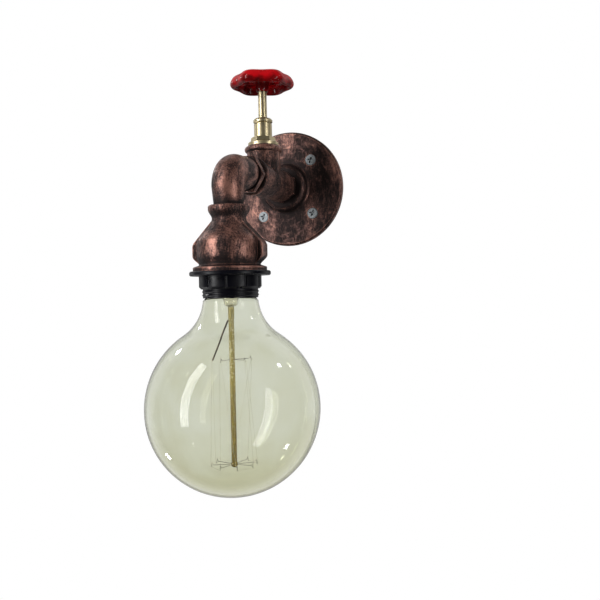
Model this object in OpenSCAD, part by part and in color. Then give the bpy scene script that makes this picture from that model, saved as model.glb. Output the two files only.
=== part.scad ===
// Wall lamp made of half-inch pipe fittings: a flange on the wall, a tee with a tap head and handwheel,
// a street elbow, and a reducing socket that holds a lampholder and a large globe bulb.
// Millimetres. The origin is the centre of the flange's back face, on the wall. The arm runs along -Y
// away from the wall, +Z is up and +X is to the right as one faces the wall.

/* [Wall flange] */
// Diameter of the round wall plate
flange_d = 98; // [86:1:120]
// Thickness of the plate at its outer edge
flange_edge_t = 4.6; // [3:0.2:7]
// Rise of the plate's face from its edge to the foot of the hub
flange_rise = 2.8; // [1:0.2:4]
// Diameter of the hub that takes the wall nipple
hub_d = 39; // [34:1:44]
// Distance from the wall to the hub's face
hub_h = 16.5; // [15:0.5:30]
// Radius of the hub's rounded edge
hub_round = 4.5; // [1:0.5:5]

/* [Wall screws] */
// Diameter of the circle that the wall screws stand on
screw_circle_d = 64; // [58:1:72]
// Turn of the screw pattern
screw_turn = 46; // [0:1:90]
// Outside diameter of a screw's thread
shank_d = 4; // [3:0.5:5]
// Depth of a screw's thread; the shank under the head is plain
screw_thread = 0.3; // [0.25:0.05:0.5]
// Diameter of a screw's countersunk head
head_d = 9.2; // [7:0.2:10]
// Overall length of a screw
screw_len = 40; // [30:1:60]
// Gap round a screw in its hole
screw_gap = 0.2; // [0.1:0.05:0.4]

/* [Pipe thread] */
// Working diameter of the half-inch pipe thread
thread_d = 20; // [19:0.2:21]
// Gap between a male thread and its socket
thread_gap = 0.1; // [0.05:0.05:0.2]
// Length of a male pipe thread
thread_len = 11; // [8:0.5:12]
// Clear bore through the male pieces
pipe_bore_d = 15; // [13:0.5:16]

/* [Nipples] */
// Width of the wall nipple's hexagon across its flats
wall_hex_af = 23.5; // [22:0.5:26]
// Length of the wall nipple's hexagon
wall_hex_len = 6; // [5:0.5:12]
// Width of the arm nipple's hexagon across its flats
arm_hex_af = 27; // [25:0.5:30]
// Length of the arm nipple's hexagon
arm_hex_len = 4.5; // [4:0.5:12]
// Bare thread between the tee and the arm nipple's hexagon
bare_len = 5.5; // [1:0.5:8]

/* [Tee] */
// Distance from the tee's centre to the face that takes the arm
tee_reach = 28; // [26:0.5:34]
// Distance from the tee's centre to its face towards the wall
tee_back = 33.5; // [28:0.5:38]
// Distance from the tee's centre up to its top face
tee_rise = 27; // [26:0.5:34]
// Diameter of the tee's body
tee_d = 26.4; // [25:0.2:28]
// Diameter of the round beads at two of the tee's ends
tee_bead_d = 30; // [28.5:0.5:33]
// Width of the beads
bead_w = 5; // [3:0.5:7]

/* [Street elbow] */
// Distance from the elbow's corner to the face of its socket
elbow_reach = 28; // [26:0.5:32]
// Distance from the elbow's corner down to the end of its plain leg
elbow_drop = 26.5; // [20:0.5:34]
// Radius of the bend's centre line
bend_r = 13; // [12.6:0.2:14]
// Diameter of the bend
elbow_d = 24; // [23:0.2:25]
// Diameter of the leg where it enters the reducing socket
leg_end_d = 21.4; // [20.8:0.2:24]
// Diameter of the elbow's socket at its face
elbow_end_d = 25; // [24.4:0.2:28]

/* [Reducing socket] */
// Length of the reducing socket
socket_len = 47; // [46:0.5:58]
// Diameter of the collar at its top
collar_d = 29.8; // [28:0.2:33]
// Height of the collar's lip
collar_h = 3; // [2:0.2:5]
// Diameter of its neck
neck_d = 24.4; // [23.8:0.2:28.6]
// Distance from its top down to its neck
neck_fall = 9.5; // [8:0.5:12]
// Distance from its top down to the full width of its body
shoulder_fall = 27.5; // [26:0.5:32]
// Distance from its top down to the end of its straight body
belly_fall = 36; // [33:0.5:38]
// Distance from its top down to its waist
waist_fall = 42.5; // [40:0.5:44]
// Distance from its top down to the end of its pipe thread
throat_fall = 12; // [11.5:0.5:16]
// Distance from its top down to the full width of its mouth
cone_fall = 25; // [22:0.5:28]
// Diameter of its body
body_d = 46.8; // [46:0.2:50]
// Diameter of the waist above its foot
waist_d = 44; // [43.4:0.2:48]
// Diameter of its foot
foot_d = 52.8; // [51:0.2:56]
// Distance across its two ribs
rib_span = 53.4; // [51:0.2:56]
// Thickness of a rib
rib_w = 10.5; // [5:0.5:12]
// Turn of the ribs about the socket's axis
rib_turn = 4; // [0:1:90]

/* [Lampholder] */
// Outside diameter of the lampholder's threaded skirt
skirt_d = 40.4; // [39:0.2:40.6]
// Wall of the skirt at its mouth
skirt_wall = 0.8; // [0.7:0.05:0.9]
// Length of skirt that shows below the reducing socket
skirt_show = 19; // [16:0.5:22]
// Depth of the skirt's thread
skirt_thread = 0.5; // [0.3:0.05:0.5]
// Pitch of the skirt's thread
skirt_pitch = 2.5; // [2:0.25:3]
// Diameter of the shade ring's flange
ring_d = 58; // [54:0.5:64]
// Thickness of the shade ring's flange
ring_t = 3.2; // [2:0.2:4]
// Diameter of the shade ring's grip
grip_d = 44.6; // [43.6:0.2:47]
// Overall height of the shade ring
ring_h = 12.6; // [9:0.2:13]
// Number of grooves round the grip
grip_grooves = 10; // [6:1:16]
// Thickness of the moulded base that carries the contacts
base_t = 5; // [4:0.5:6]
// Length of the screw shell
shell_len = 21; // [19:0.5:22]
// Height of the hood over the terminals
hood_h = 8.6; // [7:0.2:10]
// Gap between the mating pieces of the lampholder
fit_gap = 0.15; // [0.1:0.05:0.25]

/* [Bulb] */
// Diameter of the glass globe
globe_d = 125; // [95:1:140]
// Distance from the lampholder's mouth down to the top of the globe's round, inside the neck
globe_drop = 16; // [11.5:0.5:37.5]
// Radius of the curve between neck and globe
neck_curve = 32; // [26:1:44]
// Lean of the neck's side, wider towards the globe
neck_taper = 8; // [4:1:14]
// Diameter of the glass neck below the lampholder's mouth
glass_neck_d = 39.6; // [38:0.2:40.2]
// Gap between the lampholder's mouth and the full width of the neck
neck_gap = 2; // [1.8:0.1:3]
// Thickness of the glass
glass_t = 0.8; // [0.6:0.1:1.2]
// Outside diameter of the bulb's screw cap
cap_d = 26; // [25.4:0.1:26.4]
// Length of the cap from its contact to the glass
cap_len = 25.5; // [25:0.25:26.5]
// Diameter of the glass rod that carries the filament
rod_d = 4; // [2.6:0.2:5]
// Distance from the globe's centre up to the upper hooks
upper_hook_z = 34.5; // [25:0.5:38]
// Distance from the globe's centre down to the lower hooks
lower_hook_z = 40.5; // [30:0.5:44]
// Reach of the upper hooks
upper_hook_r = 14.6; // [10:0.2:17]
// Reach of the lower hooks
lower_hook_r = 16.4; // [12:0.2:20]
// Number of lower hooks
hook_count = 8; // [5:1:10]
// Diameter of the hooks' wire
hook_d = 0.3; // [0.25:0.05:0.6]
// Diameter of a lead wire
lead_d = 0.6; // [0.4:0.05:0.8]
// Diameter of the hollow stem
stem_d = 10.4; // [8:0.2:12]
// Length of the stem from the cap to its press
stem_len = 14.5; // [12:0.5:16]
// Length of the press that grips the rod
press_len = 9.5; // [5:0.5:11]
// Diameter of the filament
filament_d = 0.16; // [0.1:0.02:0.4]

/* [Tap head] */
// Thickness of the gasket under the bonnet
gasket_t = 0.6; // [0.4:0.1:1.6]
// Diameter of the bonnet's flange
bonnet_d = 24.2; // [23:0.2:27]
// Thickness of the bonnet's flange
bonnet_flange_t = 3.2; // [2:0.2:4]
// Width of the bonnet's hexagon across its flats
bonnet_af = 17; // [16.2:0.2:20]
// Height of the bonnet's hexagon
bonnet_hex_h = 3.6; // [3:0.2:6]
// Diameter of the bonnet's barrel
barrel_d = 14.2; // [13.6:0.2:16]
// Height of the barrel
barrel_h = 10.4; // [9:0.2:14]
// Diameter of the gland nut's head
gland_d = 15.2; // [14:0.2:17]
// Height of the gland nut's head
gland_h = 3.6; // [2.6:0.2:5]
// Diameter of the spindle
spindle_d = 6.8; // [6:0.2:7.4]
// Diameter of the spindle's screw
screw_d = 10.4; // [9.6:0.2:11]
// Bare spindle between the gland nut and the handwheel
spindle_show = 21.5; // [18:0.5:30]
// Fall of the spindle from open to shut
lift = 9; // [6:0.5:9]
// Running gap between the tap head's moving pieces and their bores
run_gap = 0.08; // [0.05:0.01:0.1]
// Diameter of the valve disc
disc_d = 13; // [11:0.5:15]

/* [Handwheel] */
// Diameter across the handwheel's lobes
wheel_d = 51.8; // [46:0.2:60]
// Depth of the hollows between the lobes
hollow = 3.4; // [1:0.2:4]
// Number of lobes
lobes = 6; // [5:1:8]
// Height of the rim
rim_h = 10.6; // [9:0.2:12]
// Distance from the hub's lower end up to the rim's lower edge
rim_rise = 2.2; // [1:0.2:4]
// Height of the hub
hub_len = 11; // [10:0.2:13]
// Diameter of the hub
wheel_hub_d = 11; // [10:0.5:16]
// Turn of the handwheel about the spindle
wheel_turn = 23; // [0:1:60]

/* [Wiring] */
// Outside diameter of an insulated wire
wire_d = 2.4; // [2:0.1:2.6]
// Length of the crimped ferrules at the wires' ends
ferrule_len = 8; // [6:0.5:12]

/* [Hidden] */
$fn = 64;
// overlap that lets a cut pass clear through a face
past = 1;
// fine steps of a curved outline
steps = 8;

// Radii
flange_r = flange_d / 2;
hub_r = hub_d / 2;
thread_r = thread_d / 2;
male_r = thread_r - thread_gap;
bore_r = pipe_bore_d / 2;
// space left beyond a thread's end
end_gap = 0.3;
elbow_r = elbow_d / 2;
skirt_r = skirt_d / 2;
globe_r = globe_d / 2;
cap_r = cap_d / 2;
rod_r = rod_d / 2;
spindle_r = spindle_d / 2;
screw_r = screw_d / 2;
wheel_r = wheel_d / 2;

// Places along the arm, as distances from the wall
tee_near = hub_h + wall_hex_len;
tee_out = tee_near + tee_back;
tee_far = tee_out + tee_reach;
elbow_face = tee_far + bare_len + arm_hex_len;
elbow_out = elbow_face + elbow_reach;
elbow_end_r = elbow_end_d / 2;
end_round = 2;
end_bevel = 1;

// Wall plate and screws
edge_bevel = 1.6;
hub_fillet = 3;
plate_r = flange_r - edge_bevel;
function plate_face(r) = flange_edge_t + flange_rise * (plate_r - r) / (plate_r - hub_r - hub_fillet);
head_r = head_d / 2;
shank_r = shank_d / 2;
plain_r = shank_r - screw_thread;
head_rim = 0.8;
head_face = plate_face(screw_circle_d / 2) + 0.3;
head_cone = head_r - shank_r;
screw_tip = 5;
recess_len = 5.4;
recess_w = 1.3;
recess_deep = 2;

// Reducing socket, as heights
socket_top = -elbow_drop;
socket_foot = socket_top - socket_len;
neck_at = socket_top - neck_fall;
shoulder_at = socket_top - shoulder_fall;
belly_end = socket_top - belly_fall;
waist_at = socket_top - waist_fall;
foot_at = socket_foot + 2.6;
mouth_r = skirt_r + thread_gap;
socket_throat = socket_top - throat_fall;
socket_cone_end = socket_top - cone_fall;
rib_sink = 1;
rib_round = 1.2;
rib_root = sqrt(pow(neck_d / 2, 2) - pow(rib_w / 2, 2)) - rib_sink;

// Lampholder, as heights
mouth_z = socket_foot - skirt_show;
skirt_top = socket_cone_end - 1;
base_r = skirt_r - skirt_wall - skirt_thread - fit_gap;
base_top = skirt_top;
base_bottom = base_top - base_t;
ledge_h = 2.4;
skirt_in_r = base_r + fit_gap;
shell_gap = 0.3;
shell_t = 0.5;
shell_in_r = cap_r + shell_gap;
shell_r = shell_in_r + shell_t;
collar_t = 1.8;
collar_r = shell_r + fit_gap + collar_t;
ledge_r = collar_r + fit_gap;
hood_wall = 1.6;
hood_top_r = 11.6;
wire_hole_r = 5.5;
terminal_x = 10;
terminal_r = 2.4;
contact_t = 0.5;
contact_w = 5;
contact_drop = 1.1;
contact_gap = 0.15;

// Bulb, as heights
tip_z = base_bottom - contact_drop - contact_gap;
glass_top = tip_z - cap_len;
globe_z = mouth_z - globe_drop - globe_r;
tip_r = 4.8;
tip_h = 1.8;
insulator_h = 3.4;
insulator_r = cap_r - 2.4;
cap_wall = 0.5;
seal_len = 1.2;
neck_r = glass_neck_d / 2;
seal_r = cap_r - cap_wall - fit_gap;
upper_z = globe_z + upper_hook_z;
lower_z = globe_z - lower_hook_z;
press_top = glass_top - stem_len;
press_r = rod_r + 0.2;
stem_r = stem_d / 2;
stem_end = stem_r - press_r;
stem_wall = 0.8;
flare_h = 2.2;
// the neck's side runs down from below the mouth, and a curve joins it to the globe; from the globe's centre
neck_start = [neck_r, mouth_z - neck_gap - globe_z];
neck_out = [cos(neck_taper), sin(neck_taper)];
neck_run = [sin(neck_taper), -cos(neck_taper)];
curve_from = neck_start + neck_curve * neck_out;
curve_along = curve_from * neck_run;
curve_span = (globe_r + neck_curve) * (globe_r + neck_curve) - curve_from * curve_from;
curve_centre = curve_from - neck_run * (curve_along + sqrt(curve_along * curve_along + curve_span));
upper_count = 4;
lead_spread = 4;
lead_gap = 0.8;
hook_bend = 1.6;
hook_peak = 1.8;
hook_drop = 1.3;
hook_sides = 6;

// Tap head, as heights
tee_top = tee_rise;
bonnet_base = tee_top + gasket_t;
hex_base = bonnet_base + bonnet_flange_t;
barrel_base = hex_base + bonnet_hex_h;
barrel_top = barrel_base + barrel_h;
groove_h = 0.8;
gland_base = barrel_top + groove_h;
gland_top = gland_base + gland_h;
wheel_base = gland_top + spindle_show;
gland_stub_h = 3.4;
gland_stub_r = barrel_d / 2 - 1.9;
packing_h = 3;
packing_floor = barrel_top - gland_stub_h - packing_h;
foot_past = 2;
bonnet_foot = tee_top - thread_len - foot_past;
screw_len_z = lift + 5;
spindle_foot = bonnet_foot;
screw_top = spindle_foot + screw_len_z;
screw_ceiling = screw_top + end_gap;
jumper_pin_r = 1.8;
jumper_pin_h = 7;
jumper_t = 2.6;
jumper_gap = 0.2;
disc_t = 3;
disc_screw_h = 1.4;

// Handwheel
wheel_top = wheel_base + hub_len;
tang_r = 2.9;
stud_r = 2.4;
washer_t = 0.8;
washer_r = 5.2;
nut_af = 8;
nut_h = 4.2;
stud_h = washer_t + nut_h + 1.2;
rim_base = wheel_base + rim_rise;
rim_top = rim_base + rim_h;
web_t = 2.4;
wheel_steps = 72;

// Route of the live wire, chosen by hand: x, distance from the wall, height.
// The neutral wire mirrors it to the other side of the arm.
live_route = [[1.8, 1, -4.5], [1.8, 12, -4.5], [1.8, 24, -4.5], [1.8, 36, -4.6], [1.8, 48, -5], [1.8, 60, -5],
    [1.8, 72, -5], [1.8, 84, -4.6], [1.8, 96, -4.5], [1.8, 107, -4.5], [1.8, 112.6, -5.3], [1.8, 115.6, -7.6],
    [1.8, 117, -11], [1.8, 117.8, -17], [1.8, 119, -24], [1.8, 120.6, -32], [2, 122, -38], [3, 122, -43.5],
    [5.2, 122, -47], [8, 122, -47.8], [9.8, 122, -48.8], [10, 122, -50.6]];
wire_sides = 8;
wire_r = wire_d / 2;
ferrule_wall = 0.4;

patina = [0.36, 0.24, 0.2];
pale_brass = [0.82, 0.74, 0.48];
zinc = [0.68, 0.7, 0.7];
black_moulding = [0.06, 0.06, 0.07];
red_enamel = [0.72, 0.03, 0.05];
amber_glass = [0.86, 0.86, 0.7, 0.45];
fibre_red = [0.25, 0.12, 0.1];
steel_wire = [0.4, 0.38, 0.34];

// Points on an arc about a centre, from one angle to another
function arc(centre, r, from, to) = [
    for (i = [0 : steps])
        let (a = from + (to - from) * i / steps)
        centre + r * [cos(a), sin(a)]];

// Points on a smooth double curve from one point to another, upright at both ends
function ease(a, b) = [
    for (i = [0 : steps])
        let (t = i / steps)
        [a[0] + (b[0] - a[0]) * (1 - cos(180 * t)) / 2, a[1] + (b[1] - a[1]) * t]];

// Places children on the arm's axis, their own z axis pointing away from the wall
module on_arm(out) {
    translate([0, -out, 0])
        rotate([90, 0, 0])
            children();
}

// Places children on the upright axis of the tap head
module on_tap_axis() {
    translate([0, -tee_out, 0])
        children();
}

// Places children on the upright axis of the lampholder and bulb
module on_lamp_axis() {
    translate([0, -elbow_out, 0])
        children();
}

// A round bar between two points
module bar(a, b, r) {
    run = b - a;
    flat = norm([run[0], run[1]]);
    translate(a)
        rotate([0, atan2(flat, run[2]), atan2(run[1], run[0])])
            cylinder(r = r, h = norm(run), $fn = 16);
}

// A round tube swept along points. Each point has a side direction, square to the way there.
module tube(points, sides, r, count) {
    last = len(points) - 1;
    skin = [
        for (i = [0 : last])
            let (run = points[min(i + 1, last)] - points[max(i - 1, 0)])
            let (raw = cross(sides[i], run))
            let (up = raw / norm(raw), raw_side = cross(run, up))
            let (side = raw_side / norm(raw_side))
            for (j = [0 : count - 1])
                points[i] + r * (cos(360 * j / count) * side + sin(360 * j / count) * up)];
    walls = [
        for (i = [0 : last - 1])
            for (j = [0 : count - 1])
                let (a = i * count, b = a + count, k = (j + 1) % count)
                for (f = [[a + j, b + k, a + k], [a + j, b + j, b + k]])
                    f];
    near_cap = [for (j = [0 : count - 1]) j];
    far_cap = [for (j = [count - 1 : -1 : 0]) last * count + j];
    polyhedron(skin, concat(walls, [near_cap, far_cap]));
}

// Hexagon across the given flats with its corners turned off at both ends
module turned_hex(af, h) {
    corner = af / 2 / cos(30);
    turned = af / 2 + 0.3;
    drop = (corner - turned) / 1.7;
    intersection() {
        cylinder(r = corner, h = h, $fn = 6);
        rotate_extrude()
            polygon([[0, 0], [turned, 0], [corner, drop], [corner, h - drop], [turned, h], [0, h]]);
    }
}

// Half outline of a pipe end: a plain body with a round bead at its face, z = 0 at the face
module beaded_outline(body_r, bead_r, reach) {
    square([body_r, reach]);
    square([bead_r - bead_w / 2, bead_w]);
    translate([bead_r - bead_w / 2, bead_w / 2])
        circle(d = bead_w);
}

module beaded_end(body_r, bead_r, reach) {
    rotate_extrude()
        intersection() {
            beaded_outline(body_r, bead_r, reach);
            square([bead_r, reach]);
        }
}

// Hollow nipple: male threads on both sides of a hexagon, which starts at z = 0
module nipple(af, hex_len, near_len, far_len, turn) {
    difference() {
        union() {
            rotate([0, 0, turn])
                turned_hex(af, hex_len);
            translate([0, 0, -near_len])
                cylinder(r = male_r, h = near_len + hex_len + far_len);
        }
        translate([0, 0, -near_len - past])
            cylinder(r = bore_r, h = near_len + hex_len + far_len + 2 * past);
    }
}

module wall_flange() {
    color(patina)
        on_arm(0)
            difference() {
                rotate_extrude()
                    polygon(concat(
                        [[thread_r, 0], [flange_r, 0], [flange_r, flange_edge_t - edge_bevel]],
                        [[plate_r, flange_edge_t]],
                        arc([hub_r + hub_fillet, plate_face(hub_r + hub_fillet) + hub_fillet],
                            hub_fillet, 270, 180),
                        arc([hub_r - hub_round, hub_h - hub_round], hub_round, 0, 90),
                        [[thread_r, hub_h]]));
                at_wall_screws() {
                    translate([0, 0, -past])
                        cylinder(r = shank_r + screw_gap, h = head_face + past);
                    translate([0, 0, head_face - head_rim - head_cone])
                        cylinder(r1 = shank_r + screw_gap, r2 = head_r + screw_gap, h = head_cone);
                    translate([0, 0, head_face - head_rim])
                        cylinder(r = head_r + screw_gap, h = head_rim + past);
                }
            }
}

// Repeats children at the four screw places
module at_wall_screws() {
    for (i = [0 : 3]) {
        rotate([0, 0, screw_turn + 90 * i])
            translate([screw_circle_d / 2, 0, 0])
                children();
    }
}

module wall_screws() {
    color(zinc)
        on_arm(0)
            at_wall_screws()
                difference() {
                    rotate_extrude()
                        polygon([[0, head_face - screw_len], [shank_r, head_face - screw_len + screw_tip],
                            [shank_r, 0], [plain_r, 0],
                            [plain_r, head_face - head_rim - head_cone], [head_r, head_face - head_rim],
                            [head_r, head_face - 0.2], [head_r - 0.6, head_face], [0, head_face]]);
                    for (turn = [25, 115]) {
                        rotate([0, 0, turn])
                            translate([-recess_len / 2, -recess_w / 2, head_face - recess_deep])
                                cube([recess_len, recess_w, recess_deep + past]);
                    }
                }
}

module wall_nipple() {
    color(patina)
        on_arm(hub_h)
            nipple(wall_hex_af, wall_hex_len, thread_len, thread_len, 30);
}

module arm_nipple() {
    color(patina)
        on_arm(tee_far + bare_len)
            nipple(arm_hex_af, arm_hex_len, thread_len + bare_len,
                min(thread_len, elbow_reach - bend_r) - end_gap, -3);
}

// Ends of the tee with a bead, as the turn from the arm's way and the distance to the face
function tee_ends() = [[0, tee_reach], [-90, tee_rise]];

module tee() {
    color(patina)
        on_arm(tee_out)
            difference() {
                union() {
                    for (end = tee_ends()) {
                        rotate([end[0], 0, 0])
                            translate([0, 0, end[1]])
                                mirror([0, 0, 1])
                                    beaded_end(tee_d / 2, tee_bead_d / 2, end[1]);
                    }
                    rotate([180, 0, 0])
                        rotate_extrude()
                            polygon([[0, 0], [tee_d / 2, 0], [tee_d / 2, tee_back - end_bevel],
                                [tee_d / 2 - end_bevel, tee_back], [0, tee_back]]);
                    sphere(d = tee_d + 1.2);
                }
                for (end = concat(tee_ends(), [[180, tee_back]])) {
                    rotate([end[0], 0, 0])
                        cylinder(r = thread_r, h = end[1] + past);
                }
                sphere(r = thread_r);
            }
}

module street_elbow() {
    color(patina)
        on_lamp_axis()
            difference() {
                union() {
                    elbow_bend(elbow_r);
                    translate([0, elbow_reach, 0])
                        rotate([90, 0, 0])
                            elbow_socket();
                    translate([0, 0, -elbow_drop])
                        cylinder(r1 = leg_end_d / 2, r2 = elbow_r, h = elbow_drop - bend_r);
                    translate([0, 0, -elbow_drop - thread_len])
                        cylinder(r = male_r, h = thread_len + past);
                }
                elbow_bend(bore_r);
                translate([0, bend_r, 0])
                    rotate([-90, 0, 0])
                        cylinder(r = thread_r, h = elbow_reach - bend_r + past);
                translate([0, 0, -elbow_drop - thread_len - past])
                    cylinder(r = bore_r, h = elbow_drop + thread_len - bend_r + past);
            }
}

// Socket of the elbow, swelling smoothly from the bend to a rounded face at z = 0
module elbow_socket() {
    rotate_extrude()
        polygon(concat(
            [[0, 0]],
            arc([elbow_end_r - end_round, end_round], end_round, 270, 360),
            ease([elbow_end_r, end_round], [elbow_r, elbow_reach - bend_r]),
            [[0, elbow_reach - bend_r]]));
}

// Quarter turn from the arm down into the lamp's axis
module elbow_bend(r) {
    translate([0, bend_r, -bend_r])
        rotate([90, 0, 90])
            rotate([0, 0, 90])
                rotate_extrude(angle = 90)
                    translate([bend_r, 0])
                        circle(r = r);
}

module reducing_socket() {
    color(patina)
        on_lamp_axis()
            difference() {
                union() {
                    rotate_extrude()
                        polygon(concat(
                            [[0, socket_top]],
                            arc([collar_d / 2 - collar_h / 2, socket_top - collar_h / 2],
                                collar_h / 2, 90, 0),
                            ease([collar_d / 2, socket_top - collar_h], [neck_d / 2, neck_at]),
                            ease([neck_d / 2, neck_at], [body_d / 2, shoulder_at]),
                            ease([body_d / 2, belly_end], [waist_d / 2, waist_at]),
                            ease([waist_d / 2, waist_at], [foot_d / 2, foot_at]),
                            [[foot_d / 2, socket_foot], [0, socket_foot]]));
                    rotate([0, 0, rib_turn])
                        socket_ribs();
                }
                rotate_extrude()
                    polygon([[0, socket_top + past], [thread_r, socket_top + past],
                        [thread_r, socket_throat], [mouth_r, socket_cone_end],
                        [mouth_r, socket_foot - past], [0, socket_foot - past]]);
            }
}

// Two upright ribs on opposite sides of the socket, for a pipe wrench
module socket_ribs() {
    half = concat(
        [[rib_root, neck_at], [rib_span / 2 - rib_round, shoulder_at + rib_round]],
        [[rib_span / 2, shoulder_at - rib_round]],
        ease([rib_span / 2, belly_end], [waist_d / 2 - rib_sink, waist_at - rib_sink]));
    other = [for (i = [len(half) - 1 : -1 : 0]) [-half[i][0], half[i][1]]];
    rotate([90, 0, 0])
        linear_extrude(rib_w, center = true)
            polygon(concat(half, other));
}

module bonnet_gasket() {
    color(fibre_red)
        on_tap_axis()
            translate([0, 0, tee_top])
                difference() {
                    cylinder(d = bonnet_d + 0.6, h = gasket_t);
                    translate([0, 0, -past])
                        cylinder(r = thread_r + 0.2, h = gasket_t + 2 * past);
                }
}

module bonnet() {
    color(pale_brass)
        on_tap_axis()
            difference() {
                union() {
                    translate([0, 0, bonnet_foot])
                        cylinder(r = male_r, h = bonnet_base - bonnet_foot);
                    translate([0, 0, bonnet_base])
                        rotate_extrude()
                            polygon([[0, 0], [bonnet_d / 2, 0], [bonnet_d / 2, bonnet_flange_t - 1],
                                [bonnet_d / 2 - 1.4, bonnet_flange_t], [0, bonnet_flange_t]]);
                    translate([0, 0, hex_base])
                        rotate([0, 0, wheel_turn])
                            turned_hex(bonnet_af, bonnet_hex_h);
                    translate([0, 0, barrel_base])
                        cylinder(d = barrel_d, h = barrel_h);
                }
                translate([0, 0, bonnet_foot - past])
                    cylinder(r = screw_r + run_gap, h = screw_ceiling - bonnet_foot + past);
                cylinder(r = spindle_r + run_gap, h = barrel_top);
                translate([0, 0, packing_floor])
                    cylinder(r = gland_stub_r + thread_gap, h = barrel_top - packing_floor + past);
            }
}

module gland_packing() {
    color(fibre_red)
        on_tap_axis()
            translate([0, 0, packing_floor])
                difference() {
                    cylinder(r = gland_stub_r, h = packing_h);
                    translate([0, 0, -past])
                        cylinder(r = spindle_r + run_gap, h = packing_h + 2 * past);
                }
}

module gland_nut() {
    color(pale_brass)
        on_tap_axis()
            difference() {
                union() {
                    translate([0, 0, barrel_top - gland_stub_h])
                        cylinder(r = gland_stub_r, h = gland_stub_h + groove_h);
                    translate([0, 0, barrel_top])
                        cylinder(r = barrel_d / 2 - 0.9, h = groove_h + 0.5);
                    translate([0, 0, gland_base])
                        rotate_extrude()
                            polygon([[0, 0], [gland_d / 2 - 0.8, 0], [gland_d / 2, 0.8],
                                [gland_d / 2, gland_h - 1.2], [gland_d / 2 - 1.2, gland_h], [0, gland_h]]);
                }
                translate([0, 0, barrel_top - gland_stub_h - past])
                    cylinder(r = spindle_r + run_gap, h = gland_top - barrel_top + gland_stub_h + 2 * past);
            }
}

module spindle() {
    color(pale_brass)
        on_tap_axis()
            difference() {
                union() {
                    translate([0, 0, spindle_foot])
                        cylinder(r = screw_r, h = screw_top - spindle_foot);
                    translate([0, 0, spindle_foot])
                        cylinder(r = spindle_r, h = wheel_base - spindle_foot);
                    translate([0, 0, spindle_foot])
                        cylinder(r = tang_r - fit_gap, h = wheel_top - spindle_foot);
                    translate([0, 0, spindle_foot])
                        cylinder(r = stud_r, h = wheel_top + stud_h - spindle_foot);
                }
                translate([0, 0, spindle_foot - past])
                    cylinder(r = jumper_pin_r + run_gap, h = jumper_pin_h + 0.5 + past);
            }
}

module valve_jumper() {
    color(pale_brass)
        on_tap_axis()
            translate([0, 0, spindle_foot - jumper_gap - jumper_t]) {
                cylinder(d = disc_d, h = jumper_t);
                cylinder(r = jumper_pin_r, h = jumper_t + jumper_gap + jumper_pin_h);
                translate([0, 0, -disc_t - disc_screw_h])
                    cylinder(r = 1.5, h = disc_t + disc_screw_h + jumper_t);
            }
}

module valve_disc() {
    color(black_moulding)
        on_tap_axis()
            translate([0, 0, spindle_foot - jumper_gap - jumper_t - disc_t])
                difference() {
                    cylinder(d = disc_d - 0.6, h = disc_t);
                    translate([0, 0, -past])
                        cylinder(r = 1.5 + run_gap, h = disc_t + 2 * past);
                }
}

module disc_screw() {
    color(pale_brass)
        on_tap_axis()
            translate([0, 0, spindle_foot - jumper_gap - jumper_t - disc_t - disc_screw_h])
                difference() {
                    cylinder(r = 3, h = disc_screw_h, $fn = 6);
                    translate([0, 0, -past])
                        cylinder(r = 1.5 + run_gap, h = disc_screw_h + 2 * past);
                }
}

// Section of the handwheel through a lobe, going round from the hub's foot, as radius and height.
// The rim swells in and out with the lobes, so its radii carry the reach of the lobe at that angle.
function wheel_section(reach) =
    let (hub = wheel_hub_d / 2)
    concat(
        [[0.5, wheel_base], [hub - 1.2, wheel_base], [hub - 0.3, wheel_base + 0.7]],
        [[hub, rim_top - web_t - 2.4], [hub + 1.6, rim_top - web_t - 2.2]],
        [[reach - 8.6, rim_top - web_t - 1.4], [reach - 6, rim_top - web_t - 1.2]],
        [[reach - 4.8, rim_top - web_t - 2], [reach - 4.2, rim_base + 1], [reach - 3.4, rim_base + 0.2]],
        [[reach - 2, rim_base], [reach - 0.8, rim_base + 0.5], [reach, rim_base + 2.4]],
        [[reach - 0.2, rim_base + 4.4], [reach - 1.5, rim_top - 2.6], [reach - 2.8, rim_top - 0.8]],
        [[reach - 4.4, rim_top], [reach - 6.6, rim_top - 0.4], [reach - 8.6, rim_top - 1]],
        [[hub + 1.6, rim_top - 1.8], [hub, wheel_top - 0.8], [hub - 1, wheel_top], [0.5, wheel_top]]);

function lobe_reach(turn) = wheel_r - hollow * (1 - cos(lobes * turn)) / 2;

module wheel_body() {
    rows = len(wheel_section(wheel_r));
    points = [
        for (i = [0 : wheel_steps - 1])
            let (turn = 360 * i / wheel_steps)
            for (p = wheel_section(lobe_reach(turn)))
                [p[0] * cos(turn), p[0] * sin(turn), p[1]]];
    faces = [
        for (i = [0 : wheel_steps - 1])
            for (j = [0 : rows - 1])
                let (a = i * rows, b = ((i + 1) % wheel_steps) * rows, k = (j + 1) % rows)
                for (f = [[a + j, a + k, b + k], [a + j, b + k, b + j]])
                    f];
    polyhedron(points, faces);
}

// Rounded three-cornered window between two spokes
module spoke_window() {
    corners = [[wheel_hub_d / 2 + 2.6, 0], [wheel_r - 9.6, 3.4], [wheel_r - 9.6, -3.4]];
    round_r = 1.5;
    polygon(corners);
    for (i = [0 : 2]) {
        run = corners[(i + 1) % 3] - corners[i];
        translate(corners[i])
            circle(r = round_r);
        translate(corners[i])
            rotate([0, 0, atan2(run[1], run[0])])
                translate([0, -round_r])
                    square([norm(run), 2 * round_r]);
    }
}

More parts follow.
